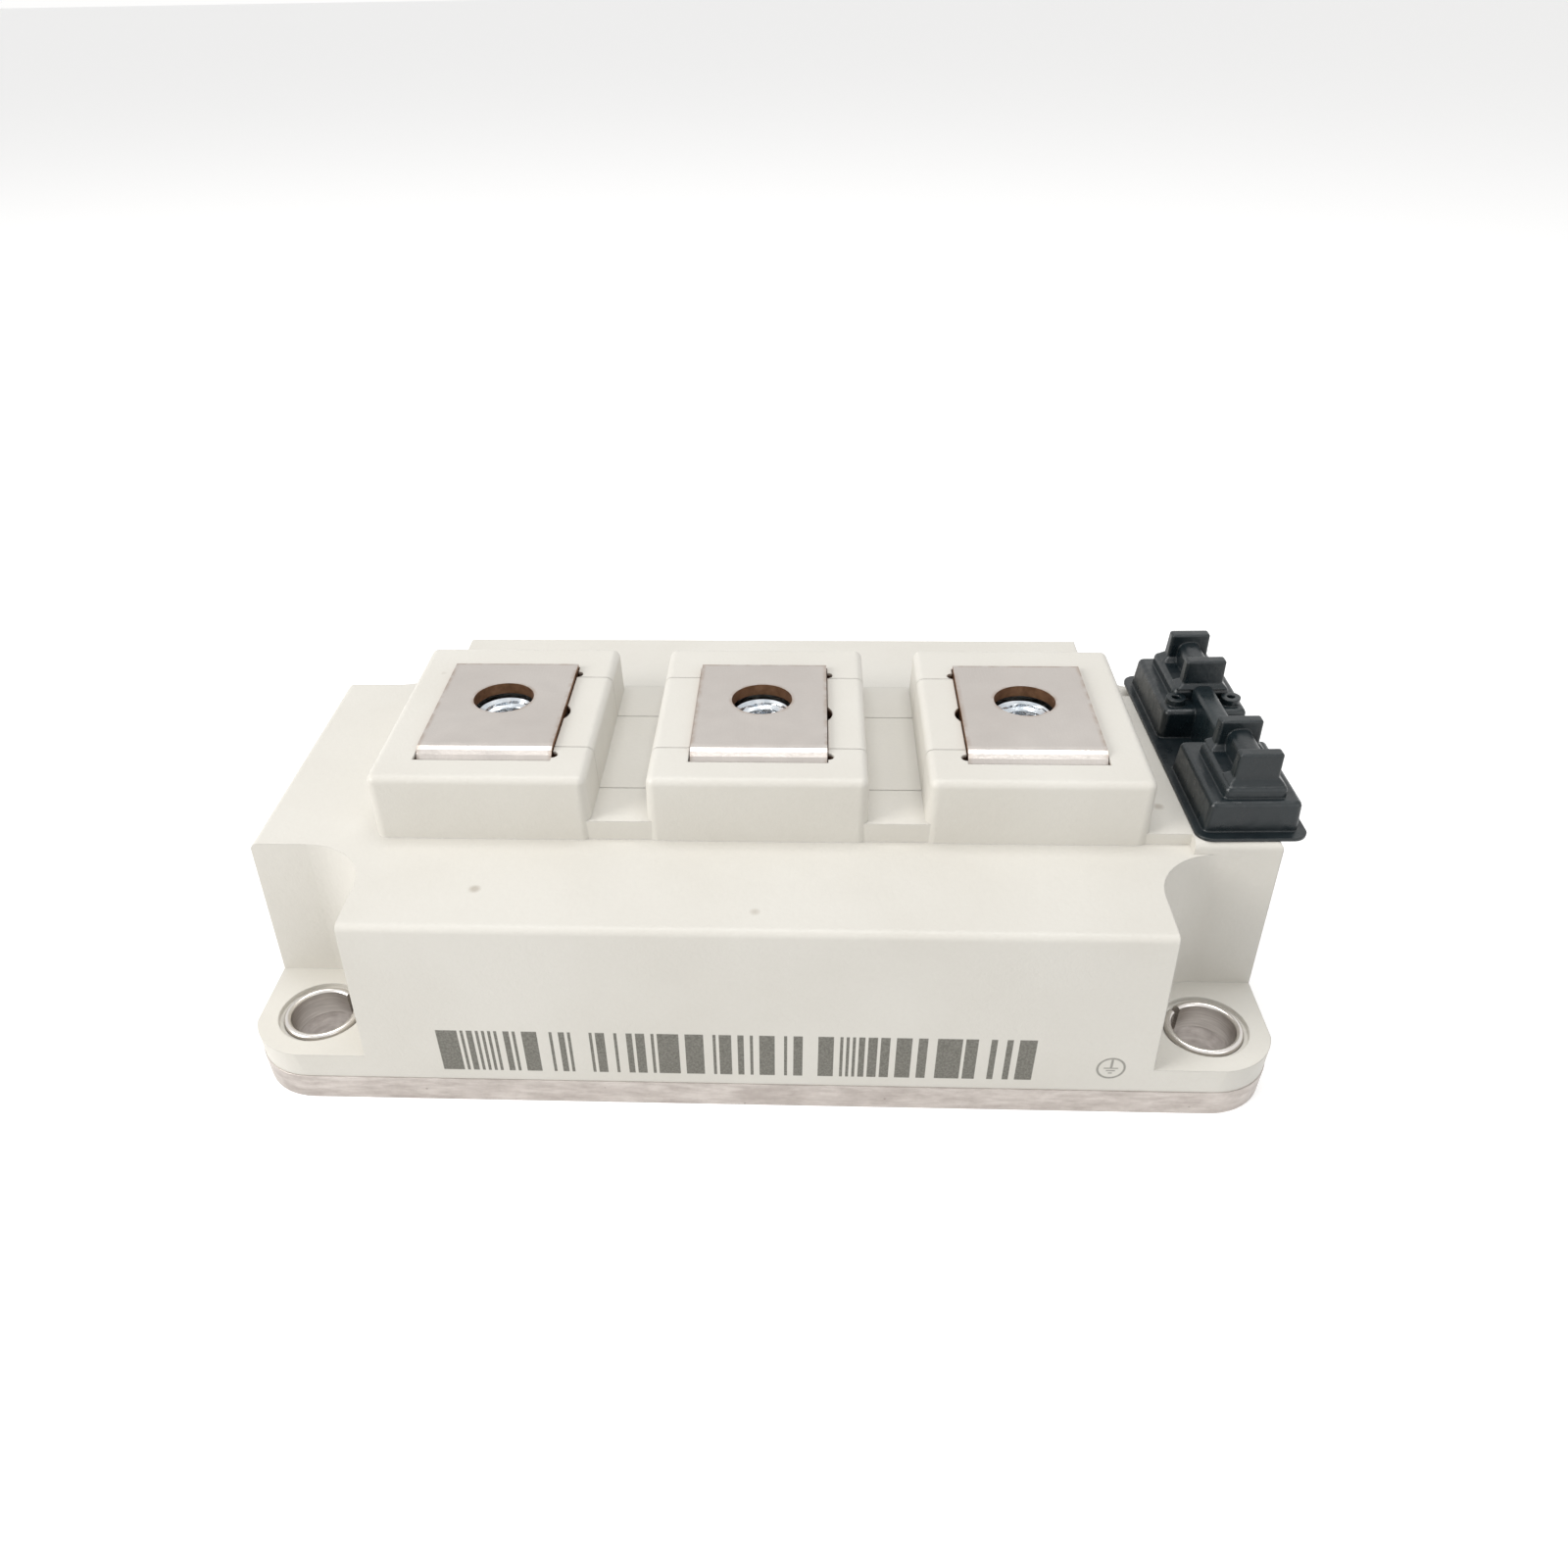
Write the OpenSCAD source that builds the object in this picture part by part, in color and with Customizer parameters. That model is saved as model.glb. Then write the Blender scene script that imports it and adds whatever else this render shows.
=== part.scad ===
// Half-bridge power module: plated base plate, moulded housing, three bolted bar terminals
// in a nut carrier, and four control tabs under a formed protective cap.
// Millimetres, +Z up. The origin is at the centre of the base plate's underside.

/* [Base plate] */
// Length of the base plate
base_l = 106.4; // [104:0.2:110]
// Width of the base plate
base_w = 61.4; // [60:0.2:64]
// Thickness of the base plate
base_t = 3.0; // [2:0.1:5]
// Corner radius of the base plate
base_corner_r = 6.6; // [4:0.1:8]
// Distance of the mounting holes from the base plate's ends
hole_edge_x = 6.7; // [6:0.1:8]
// Distance of the mounting holes from the base plate's long sides
hole_edge_y = 6.7; // [6:0.1:8]
// Diameter of the mounting holes and of the sleeves' bores
hole_d = 6.4; // [5.5:0.1:7]

/* [Housing] */
// How far the housing stands back from the base plate's edge
housing_inset = 0.1; // [0:0.05:0.8]
// Thickness of the corner flanges
flange_h = 3.0; // [2:0.1:5]
// Height of the shoulder above the base plate
body_h = 19.9; // [18:0.1:24]
// Height of the terminal blocks above the shoulder
block_h = 7.1; // [6:0.1:10]
// Height of the valley floors between the blocks above the shoulder
valley_h = 2.2; // [1:0.1:4]
// Length of one terminal block
block_l = 22.1; // [18:0.1:25]
// Distance of the outer blocks from the base plate's ends
block_end = 14.15; // [14:0.05:16]
// Front face of the blocks, measured from the terminals' centre line
block_front = 15.6; // [14:0.1:17]
// Back face of the blocks, measured from the terminals' centre line
block_back = 13.0; // [11:0.1:15]
// Lean of the end walls over their whole height
end_draft = 1.0; // [0:0.05:1.5]
// Lean of the front and back walls over their whole height
side_draft = 0.25; // [0:0.05:0.8]
// Lean of the blocks' walls
block_draft = 0.25; // [0.05:0.05:0.6]
// Rounding of the blocks' upright corners
block_corner_r = 0.9; // [0.8:0.1:2]
// Rounding of the housing's top edges
edge_r = 0.8; // [0.3:0.1:1.2]
// Thickness of the housing's walls
wall = 2.0; // [1.2:0.1:2.6]
// Thickness of the housing's roof
roof = 2.2; // [1.4:0.1:3]
// Radius of the screw pockets
pocket_r = 6.9; // [6.2:0.1:7]
// Lean of the screw pockets towards the module's middle, in degrees
pocket_lean = 2.7; // [0:0.1:4]

/* [Mounting sleeves] */
// Wall of the rolled sleeves
sleeve_wall = 0.8; // [0.5:0.1:1.2]
// Width of the slit left by rolling
sleeve_slit = 0.9; // [0.2:0.1:1.2]
// How far the sleeves stand above the flange
sleeve_proud = 0.05; // [0:0.05:0.3]
// Width of the ring groove round each sleeve's mouth
sleeve_ring = 0.5; // [0.2:0.1:0.7]

/* [Main terminals] */
// Width of the terminal plates
plate_w = 13.9; // [12:0.1:15]
// Length of the terminal plates, from the leg's front face to the back edge
plate_l = 19.4; // [18:0.1:20]
// Front face of the legs, measured from the bolts' centre line
leg_front = 11.5; // [10.5:0.1:12]
// Thickness of the terminal bars
plate_t = 1.2; // [1:0.1:1.5]
// How far the terminal plates stand above the blocks
plate_proud = 0.5; // [0.3:0.1:0.8]
// Outer radius of the bend
bend_r = 2.0; // [1.7:0.1:2.5]
// Bolt hole in the terminal plates
bolt_hole_d = 6.5; // [6.1:0.1:7]
// Width of the legs inside the housing
leg_w = 6.5; // [5:0.5:9]
// Length of the soldered feet
foot_l = 6.0; // [4:0.5:7]

/* [Nut bar] */
// Front face of the nut bar, measured from the bolts' centre line
bar_front = 9.3; // [8:0.1:9.4]
// Back face of the nut bar, measured from the bolts' centre line
bar_back = 5.7; // [5.6:0.1:7]
// Height of the nut bar at the blocks, with the terminal plate's seat
bar_h = 10.0; // [9:0.1:10.6]
// How far the nut bar reaches past the outer bolts
bar_end = 6.4; // [6.2:0.1:6.8]
// Thickness of the tray under the nut bar
tray_t = 1.8; // [1:0.1:2.4]

/* [Nuts] */
// Size of the nuts across their flats
nut_af = 10.0; // [9:0.1:10]
// Height of the nuts
nut_h = 5.0; // [4:0.1:5.2]
// Bore of the nuts at the thread's crest
nut_bore_d = 5.0; // [4.5:0.1:5.4]
// How far the nuts lie below the terminal plates
nut_drop = 0.5; // [0.1:0.1:0.8]
// Depth left for the bolt's end below each nut
bolt_room = 2.6; // [1:0.1:2.8]

/* [Control tabs] */
// Distance of the tabs from the housing's end
tab_inset = 3.5; // [3.2:0.1:5]
// Distance between the tabs of one pair
tab_pitch = 6.5; // [6:0.1:7]
// Distance of the outer tabs from the sides of the housing's end
tab_side = 4.1; // [3.8:0.1:4.6]
// How far the row of tabs sits towards the back
row_shift = 0.4; // [0:0.1:1]
// Width of the tabs
tab_w = 2.8; // [2:0.1:3]
// Thickness of the tabs
tab_t = 0.5; // [0.3:0.05:0.8]
// Height of the tabs above their seat
tab_h = 7.0; // [5:0.1:7.2]
// Length of the tabs below the roof
tab_root = 6.0; // [4:0.5:8]
// Height of the tabs' raised seat above the shoulder
seat_h = 1.3; // [0.5:0.1:2]
// Width of the raised seat, measured from the tabs' middle
seat_reach = 5.2; // [4.8:0.1:5.8]

/* [Protective cap] */
// Thickness of the formed sheet
sheet_t = 0.3; // [0.3:0.05:0.6]
// Width of the cap's rim
cap_w = 11.0; // [10.6:0.1:12]
// How far the cap's rim stands back from the sides of the housing's end
cap_side = 0; // [0:0.1:0.4]
// How far the cap sits askew
cap_skew = 1.6; // [0:0.1:2]
// Height of the cap's lower tier
tier_h = 3.5; // [2.5:0.1:3.8]
// Height of the cap's upper tier above the lower one
step_h = 1.2; // [0.8:0.1:1.8]
// Height of the tab pockets above the upper tier
pocket_h = 3.1; // [2.9:0.1:4]
// Length of the open notch between the two halves of the cap
notch_l = 5.7; // [5:0.1:7]
// Width of the ridge that joins the two halves
ridge_w = 2.2; // [1.6:0.1:2.6]

/* [Tiles and chips] */
// Gap between the two ceramic tiles
tile_gap = 3.0; // [1:0.5:5]
// Width of the tiles across the module
tile_w = 42.0; // [40:0.5:46]
// Gap from the tiles to the housing's end walls inside
tile_edge = 2.0; // [1:0.5:4]
// Thickness of the ceramic
ceramic_t = 0.6; // [0.3:0.05:1]
// Thickness of the copper on each side
copper_t = 0.3; // [0.2:0.05:0.5]
// Side of the transistor chips
transistor_l = 11.5; // [8:0.5:12]
// Side of the diode chips
diode_l = 8.5; // [6:0.5:9]
// Thickness of the chips
chip_t = 0.3; // [0.1:0.05:0.5]
// Distance between the chips along the module
chip_pitch = 14; // [13:0.5:15]
// Thickness of the bond wires
wire_t = 0.4; // [0.2:0.05:0.5]
// Number of bond wires on each chip
wires_per_chip = 4; // [2:1:5]
// Thickness of the control leads
lead_d = 1.0; // [0.6:0.1:1.4]
// Height of the gel above the base plate
gel_h = 9.5; // [8:0.5:11]

/* [Hidden] */
$fn = 64;
e = 0.01;               // overshoot of cuts
arc_steps = 6;          // straight pieces in a quarter turn of an extruded profile
fit = 0.1;              // assembly clearance between moulded parts
hole_x = base_l / 2 - hole_edge_x;
hole_y = base_w / 2 - hole_edge_y;

terminal_pitch = base_l / 2 - block_end - block_l / 2;

z_base = base_t;
z_flange = base_t + flange_h;
z_shoulder = base_t + body_h;
z_valley = z_shoulder + valley_h;
z_block = z_shoulder + block_h;
z_seat = z_shoulder + seat_h;
z_ceiling = z_shoulder - roof;
z_plate = z_block + plate_proud;
z_plate_under = z_plate - plate_t;
z_bar = z_block - bar_h;
z_nut = z_plate_under - nut_drop - nut_h;

skirt_x = base_l / 2 - housing_inset;
skirt_y = base_w / 2 - housing_inset;
skirt_r = base_corner_r - housing_inset;
top_x = skirt_x - end_draft;
top_y = skirt_y - side_draft;
pocket_shift = tan(pocket_lean) * (z_shoulder - z_flange) / 2;   // of the pockets' foot and top
wing_y = hole_y - pocket_r;
box_x = hole_x - pocket_shift - pocket_r;
cavity_box = [box_x - wall, top_y - wall];
cavity_wing = [top_x - wall, wing_y - wall];

plate_back = plate_l - leg_front;
neck_drop = 1.6;                       // the plate's full width reaches this far below it
recess_gap = 0.6;                      // gap in front of the bend
bar_x = terminal_pitch + bar_end;
relief_r = 0.6;                        // corner reliefs of the plates' recesses
scallop_r = 2.2;                       // shallow hollow beside each plate
scallop_depth = 0.5;
terminal_side = [1, 1, -1];            // side of each plate with the hollow and the reliefs

tab_x = top_x - tab_inset;
pair_pitch = 2 * (wing_y - tab_side) - tab_pitch;
tab_row = [-pair_pitch / 2 - tab_pitch / 2, -pair_pitch / 2 + tab_pitch / 2,
           pair_pitch / 2 - tab_pitch / 2, pair_pitch / 2 + tab_pitch / 2];
tab_y = [for (t = tab_row) t + row_shift];
tab_shoulder = 0.8;                    // step under the roof, on the inner edge
z_tab_root = z_ceiling - tab_root;
tab_hole_d = 1.2;
seat_x = tab_x - seat_reach;

sleeve_r = hole_d / 2 + sleeve_wall;

// cap, all half sizes
rim_x = cap_w / 2;
rim_y = wing_y - cap_side;
tier_x = rim_x - 0.8;
tier_y = rim_y - 1.25;
tier_lean = 0.2;
step_x = tier_x - 1.4;
step_y = tier_y - 0.9;
step_start = tab_row[2] - 1.3;         // the upper tier begins here on either side of the middle
notch_y = -0.35;                       // middle of the notch
web_w = 2.4;                           // width of the webs between the tab pockets
web_drop = 0.9;                        // how far they lie below the pockets' tops
tab_room = 0.1;                        // gap round each tab inside its pocket
skew_room = tab_row[3] * sin(cap_skew);
cap_pocket_x = tab_w / 2 + skew_room + tab_room + sheet_t;
cap_pocket_y = tab_t / 2 + tab_w / 2 * sin(cap_skew) + tab_room + sheet_t;
cap_pocket_lean = 0.25;
z_rim = z_seat;
z_tier = z_rim + tier_h;
z_step = z_tier + step_h;
z_tip = z_step + pocket_h;
z_ridge = z_step + 0.5;
boss_r = 1.05;                         // round bosses beside the ridge, in front of the rear half's pockets
boss_bore_r = 0.45;
boss_h = 0.7;
boss_at = [3.0, 4.6];

// tiles
z_ceramic = z_base + copper_t;
z_track = z_ceramic + ceramic_t;
z_chip = z_track + copper_t;
tile_x0 = tile_gap / 2;
tile_x1 = cavity_box[0] - tile_edge;
tile_l = tile_x1 - tile_x0;
copper_edge = 1.0;
control_pad_w = 2.6;
track_gap = 1.0;
control_pad_x = tile_x1 - copper_edge - control_pad_w;
track_x1 = control_pad_x - track_gap;
track_split = -leg_front + bend_r + 2.3;
chip_x = [tile_x0 + copper_edge + (track_x1 - tile_x0 - copper_edge - chip_pitch) / 2,
          tile_x0 + copper_edge + (track_x1 - tile_x0 - copper_edge + chip_pitch) / 2];
transistor_y = track_split + transistor_l / 2 + 1.2;
diode_y = transistor_y + transistor_l / 2 + diode_l / 2 + 2;
wire_rise = 1.8;
wire_pitch = 2.4;
gel_roof = z_chip + chip_t + wire_rise + 0.6;

seal_w = 1.0;
seal_h = 0.7;
seal_in = 0.5;

// ---- shared shapes

// Points of an arc about c, from angle a to angle b
function arc(c, r, a, b) =
    [for (i = [0:arc_steps]) c + r * [cos(a + (b - a) * i / arc_steps), sin(a + (b - a) * i / arc_steps)]];

// Wall section: foot at z0, rounded top at z1, leaning in from foot to top half width
function leaning(foot, top, z0, z1, r) =
    concat([[-foot, z0], [foot, z0]],
           arc([top - r, z1 - r], r, 0, 90),
           arc([-top + r, z1 - r], r, 90, 180));

// Extrudes a section drawn in X and Z along Y, centred
module along_y(length) rotate([90, 0, 0]) translate([0, 0, -length / 2]) linear_extrude(length) children();

// Extrudes a section drawn in Y and Z along X, centred
module along_x(length)
    rotate([90, 0, 90]) translate([0, 0, -length / 2]) linear_extrude(length) children();

// Block with four leaning walls and rounded top edges; foot and top are half sizes in X and Y
module leaning_block(foot, top, z0, z1, r) {
    intersection() {
        along_y(4 * foot[1]) polygon(leaning(foot[0], top[0], z0, z1, r));
        along_x(4 * foot[0]) polygon(leaning(foot[1], top[1], z0, z1, r));
    }
}

// The same with upright corners of radius corner as well; all four walls lean alike
module rounded_block(foot, top, z0, z1, r, corner) {
    along_y(2 * (top[1] - corner)) polygon(leaning(foot[0], top[0], z0, z1, r));
    along_x(2 * (top[0] - corner)) polygon(leaning(foot[1], top[1], z0, z1, r));
    for (sx = [-1, 1], sy = [-1, 1]) translate([sx * (top[0] - corner), sy * (top[1] - corner), 0])
        rotate_extrude() polygon(concat([[0, z0], [corner + foot[0] - top[0], z0]],
                                        arc([corner - r, z1 - r], r, 0, 90), [[0, z1]]));
}

// Rectangle with round corners, from half sizes
module rounded_plan(x, y, r) {
    square([2 * x, 2 * (y - r)], center = true);
    square([2 * (x - r), 2 * y], center = true);
    for (sx = [-1, 1], sy = [-1, 1]) translate([sx * (x - r), sy * (y - r)]) circle(r);
}

// Mirrors its children into all four corners
module four_corners() {
    for (sx = [0, 1], sy = [0, 1]) mirror([sx, 0, 0]) mirror([0, sy, 0]) children();
}

// Plan of the inside of the housing, grown all round
module cavity_plan(grow) {
    square([2 * (cavity_box[0] + grow), 2 * (cavity_box[1] + grow)], center = true);
    square([2 * (cavity_wing[0] + grow), 2 * (cavity_wing[1] + grow)], center = true);
}

// ---- base plate

module base_plate() {
    color("silver") difference() {
        linear_extrude(base_t) rounded_plan(base_l / 2, base_w / 2, base_corner_r);
        four_corners() translate([hole_x, hole_y, -e]) cylinder(d = hole_d, h = base_t + 2 * e);
    }
}

// ---- housing

// Space above one corner flange for the screw, its washer and the tool
module screw_pocket() {
    intersection() {
        translate([hole_x + pocket_shift, hole_y, z_flange]) rotate([0, -pocket_lean, 0])
            translate([0, 0, -base_t]) {
                cylinder(r = pocket_r, h = z_block);
                translate([-pocket_r, 0, 0]) cube([base_w, base_w, z_block]);
                translate([0, -pocket_r, 0]) cube([base_w, base_w, z_block]);
            }
        translate([0, 0, z_flange]) cube([base_l, base_w, z_block]);
    }
}

// Raised seat of the control tabs, flush with the wing's walls
module tab_seat() {
    intersection() {
        leaning_block([skirt_x, wing_y + side_draft], [top_x - 0.05, wing_y], z_base, z_seat, edge_r);
        translate([seat_x, -wing_y, z_flange]) cube([2 * base_w, 2 * wing_y, z_block]);
    }
    translate([terminal_pitch, -block_front + fit, z_ceiling])
        cube([seat_x + edge_r - terminal_pitch, block_front + block_back - 2 * fit, z_seat - z_ceiling]);
}

module terminal_blocks() {
    mid = (block_back - block_front) / 2;
    half = (block_back + block_front) / 2;
    translate([0, mid, 0]) {
        for (i = [-1:1]) translate([i * terminal_pitch, 0, 0])
            rounded_block([block_l / 2 + block_draft, half + block_draft], [block_l / 2, half],
                          z_ceiling, z_block, edge_r, block_corner_r);
        translate([-terminal_pitch, -half, z_ceiling])
            cube([2 * terminal_pitch, 2 * half, z_valley - z_ceiling]);
    }
}

// Recess of one terminal plate with its leg's slot; side is where the hollow shows
module plate_recess(side) {
    x = plate_w / 2 + fit;
    translate([-x, -leg_front - recess_gap, z_plate_under])
        cube([2 * x, plate_l + recess_gap + 2 * fit, plate_t]);
    translate([-x, -leg_front - 2 * fit, z_plate_under - neck_drop - 2 * fit])
        cube([2 * x, leg_front - bar_front + 2 * fit, z_block]);
    translate([-leg_w / 2 - 2 * fit, -leg_front - 2 * fit, z_ceiling - 2 * tray_t])
        cube([leg_w + 4 * fit, leg_front - bar_front + 2 * fit, z_block]);
    for (y = [plate_back - 2.5 * relief_r, -leg_front + relief_r])
        translate([side * x, y, z_plate_under - plate_t]) cylinder(r = relief_r, h = z_block);
    translate([side * (x + scallop_depth - scallop_r), -scallop_r, z_plate_under - plate_t])
        cylinder(r = scallop_r, h = z_block);
}

// Hollow core behind each block's nut bar, reached from inside
module block_cores() {
    depth = block_back - bar_back - 2 * wall;
    for (i = [-1:1]) translate([i * terminal_pitch, bar_back + wall, z_ceiling - e])
        translate([-block_l / 2 + wall, 0, 0])
            cube([block_l - 2 * wall, depth, z_block - roof - z_ceiling]);
}

// Slots through the roof, running down the end wall as grooves
module tab_slots() {
    for (y = tab_y) translate([tab_x - tab_w / 2 - fit, y - tab_t / 2 - fit, z_tab_root - fit])
        cube([tab_w + 2 * fit, tab_t + 2 * fit, z_block]);
}

module housing() {
    color("ivory") difference() {
        union() {
            intersection() {
                difference() {
                    union() {
                        leaning_block([skirt_x, skirt_y], [top_x, top_y], z_base, z_shoulder, edge_r);
                        tab_seat();
                    }
                    four_corners() screw_pocket();
                }
                linear_extrude(z_block) rounded_plan(skirt_x, skirt_y, skirt_r);
            }
            terminal_blocks();
        }
        difference() {
            translate([0, 0, z_base - e]) linear_extrude(z_ceiling - z_base + e) cavity_plan(0);
            translate([-bar_x - wall, -bar_front - wall, z_bar - tray_t])
                cube([2 * (bar_x + wall), bar_front + bar_back + 2 * wall, z_block]);
        }
        block_cores();
        translate([-bar_x - fit, -bar_front - fit, z_bar])
            cube([2 * (bar_x + fit), bar_front + bar_back + 2 * fit, z_block]);
        for (i = [0:2]) translate([(i - 1) * terminal_pitch, 0, 0]) plate_recess(terminal_side[i]);
        tab_slots();
        four_corners() translate([hole_x, hole_y, z_base - e]) {
            cylinder(r = sleeve_r + fit / 2, h = flange_h + 2 * e);
            translate([0, 0, flange_h - sleeve_ring])
                cylinder(r = sleeve_r + sleeve_ring, h = sleeve_ring + 2 * e);
        }
        seal(z_base - e, seal_h + e);
    }
}

// ---- seal

module seal(z, h) {
    translate([0, 0, z]) linear_extrude(h) difference() {
        cavity_plan(seal_in + seal_w);
        cavity_plan(seal_in);
    }
}

module seal_bead() {
    color("gainsboro") seal(z_base, seal_h);
}

// ---- nut bar

module nut_bar() {
    color("ivory") difference() {
        union() {
            translate([-bar_x, -bar_front, z_bar])
                cube([2 * bar_x, bar_front + bar_back, z_valley - z_bar]);
            intersection() {
                translate([-bar_x, -bar_front, z_bar]) cube([2 * bar_x, bar_front + bar_back, bar_h]);
                for (i = [-1:1]) translate([i * terminal_pitch, 0, 0]) along_y(2 * plate_l)
                    polygon(leaning(block_l / 2 + block_draft, block_l / 2, z_ceiling, z_block, edge_r));
            }
        }
        for (i = [0:2]) translate([(i - 1) * terminal_pitch, 0, 0]) {
            plate_recess(terminal_side[i]);
            translate([0, 0, z_nut]) cylinder(d = (nut_af + 2 * fit) / cos(30), h = z_block, $fn = 6);
            translate([0, 0, z_nut - bolt_room]) cylinder(d = bolt_hole_d, h = z_block);
        }
    }
}

// ---- nuts

module hex_nut() {
    face_r = nut_af / 2 * 0.96;
    flare_r = face_r + nut_h / tan(30);
    mouth = 0.5;
    translate([0, 0, z_nut]) difference() {
        intersection() {
            cylinder(d = nut_af / cos(30), h = nut_h, $fn = 6);
            cylinder(r1 = face_r, r2 = flare_r, h = nut_h);
            cylinder(r1 = flare_r, r2 = face_r, h = nut_h);
        }
        translate([0, 0, -e]) cylinder(d = nut_bore_d, h = nut_h + 2 * e);
        translate([0, 0, nut_h - mouth])
            cylinder(d1 = nut_bore_d, d2 = nut_bore_d + 2 * mouth + 2 * e, h = mouth + e);
        translate([0, 0, -e]) cylinder(d1 = nut_bore_d + 2 * mouth + 2 * e, d2 = nut_bore_d, h = mouth + e);
    }
}

module hex_nut_left() { color("lightsteelblue") translate([-terminal_pitch, 0, 0]) hex_nut(); }
module hex_nut_centre() { color("lightsteelblue") hex_nut(); }
module hex_nut_right() { color("lightsteelblue") translate([terminal_pitch, 0, 0]) hex_nut(); }

// ---- main terminals

// Side view of a bent bar in Y and Z: plate, bend, leg, lower bend and soldered foot
function bar_section() = let (
        y = -leg_front, top = [y + bend_r, z_plate - bend_r],
        ri = bend_r - plate_t, low = [y - ri, z_chip + plate_t + ri])
    concat([[plate_back, z_plate]],
           arc(top, bend_r, 90, 180),
           arc(low, ri, 0, -90),
           [[low[0] - foot_l, z_chip + plate_t], [low[0] - foot_l, z_chip]],
           arc(low, ri + plate_t, -90, 0),
           arc(top, ri, 180, 90),
           [[plate_back, z_plate_under]]);

module main_terminal() {
    neck_z = z_plate_under - neck_drop;
    difference() {
        union() {
            along_x(leg_w) polygon(bar_section());
            intersection() {
                along_x(plate_w) polygon(bar_section());
                translate([-plate_w, -plate_l, neck_z]) cube([2 * plate_w, 2 * plate_l, z_block]);
            }
        }
        translate([0, 0, z_plate_under - e]) cylinder(d = bolt_hole_d, h = plate_t + 2 * e);
    }
}

module main_terminal_left() { color("lightgray") translate([-terminal_pitch, 0, 0]) main_terminal(); }
module main_terminal_centre() { color("lightgray") main_terminal(); }
module main_terminal_right() { color("lightgray") translate([terminal_pitch, 0, 0]) main_terminal(); }

// ---- mounting sleeves

// Strip rolled into a tube, with a lip rounded inwards at the mouth; the slit faces the module's middle
module sleeve() {
    h = flange_h + sleeve_proud;
    lip = sleeve_wall / 2;
    translate([hole_x, hole_y, z_base]) difference() {
        rotate_extrude() translate([hole_d / 2, 0]) {
            square([sleeve_wall, h - lip]);
            translate([lip, h - lip]) circle(lip, $fn = 24);
        }
        rotate([0, 0, 227]) translate([hole_d / 2 - sleeve_wall, -sleeve_slit / 2, -e])
            cube([3 * sleeve_wall, sleeve_slit, h + 2 * e]);
    }
}

module sleeve_front_left() { color("silver") mirror([1, 0, 0]) mirror([0, 1, 0]) sleeve(); }
module sleeve_front_right() { color("silver") mirror([0, 1, 0]) sleeve(); }
module sleeve_rear_left() { color("silver") mirror([1, 0, 0]) sleeve(); }
module sleeve_rear_right() { color("silver") sleeve(); }

// ---- control tabs

module control_tab(i) {
    tip = 0.6;
    half = tab_w / 2;
    color("silver") difference() {
        translate([tab_x, tab_y[i], 0]) along_y(tab_t)
            polygon([[-half - tab_shoulder, z_tab_root], [half, z_tab_root],
                     [half, z_seat + tab_h - tip], [half - tip, z_seat + tab_h],
                     [-half + tip, z_seat + tab_h], [-half, z_seat + tab_h - tip],
                     [-half, z_ceiling], [-half - tab_shoulder, z_ceiling]]);
        translate([tab_x, tab_y[i], z_seat + tab_h - 3 * tab_hole_d]) rotate([90, 0, 0])
            cylinder(d = tab_hole_d, h = 2 * tab_t, center = true);
    }
}

module control_tab_1() { control_tab(0); }
module control_tab_2() { control_tab(1); }
module control_tab_3() { control_tab(2); }
module control_tab_4() { control_tab(3); }

// ---- protective cap

// Formed tier with leaning walls: round corners at the foot, soft edges at the top
module tier(foot, top, z0, z1, r) {
    hull() for (sx = [-1, 1], sy = [-1, 1]) {
        translate([sx * (foot[0] - r), sy * (foot[1] - r), z0]) cylinder(r = r, h = e, $fn = 16);
        translate([sx * (top[0] - r), sy * (top[1] - r), z1 - r]) sphere(r, $fn = 12);
    }
}

// One half of the cap between the distances y0 and y1 from its middle; s is its side
module half_tier(s, x, y0, y1, z0, z1, off) {
    r = 0.6;
    half = (y1 - y0) / 2;
    translate([0, s * (y0 + half), 0])
        tier([x - off, half - off], [x - tier_lean - off, half - tier_lean - off], z0, z1 - off, r);
}

// Solid form of the cap, shrunk by off on every side, as the sheet's outside or inside
module cap_form(off) {
    z0 = off > 0 ? z_rim - e : z_rim;
    for (s = [-1, 1]) {
        half_tier(s, tier_x, notch_l / 2 + s * notch_y, tier_y, z0, z_tier, off);
        half_tier(s, step_x, step_start, step_y, z0, z_step, off);
    }
    for (y = tab_row) translate([0, y, 0])
        tier([cap_pocket_x + cap_pocket_lean - off, cap_pocket_y + cap_pocket_lean - off],
             [cap_pocket_x - off, cap_pocket_y - off], z0, z_tip - off, 0.3);
    ridge = ridge_w / 2 - off;
    along_y(2 * step_start) polygon(leaning(ridge, ridge, z0, z_ridge - off, 0.7 - off));
    web = web_w / 2 - off;
    for (s = [-1, 1]) translate([0, s * pair_pitch / 2, 0])
        along_y(tab_pitch) polygon(leaning(web + tier_lean, web, z0, z_tip - web_drop - off, 0.9 - off));
}

// Small flare where each pocket and the ridge's end meet the upper tier
module pocket_feet() {
    flare = 0.35;
    for (y = tab_row) translate([0, y, 0])
        tier([cap_pocket_x + cap_pocket_lean + flare, cap_pocket_y + cap_pocket_lean + flare],
             [cap_pocket_x + cap_pocket_lean, cap_pocket_y + cap_pocket_lean], z_step - e, z_step + 0.5, 0.3);
}

module ring_bosses() {
    for (s = [-1, 1]) translate([s * boss_at[0], boss_at[1], z_tier - sheet_t / 2]) difference() {
        cylinder(r = boss_r, h = sheet_t / 2 + boss_h, $fn = 32);
        translate([0, 0, sheet_t / 2]) cylinder(r = boss_bore_r, h = 2 * boss_h, $fn = 24);
    }
}

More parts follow.
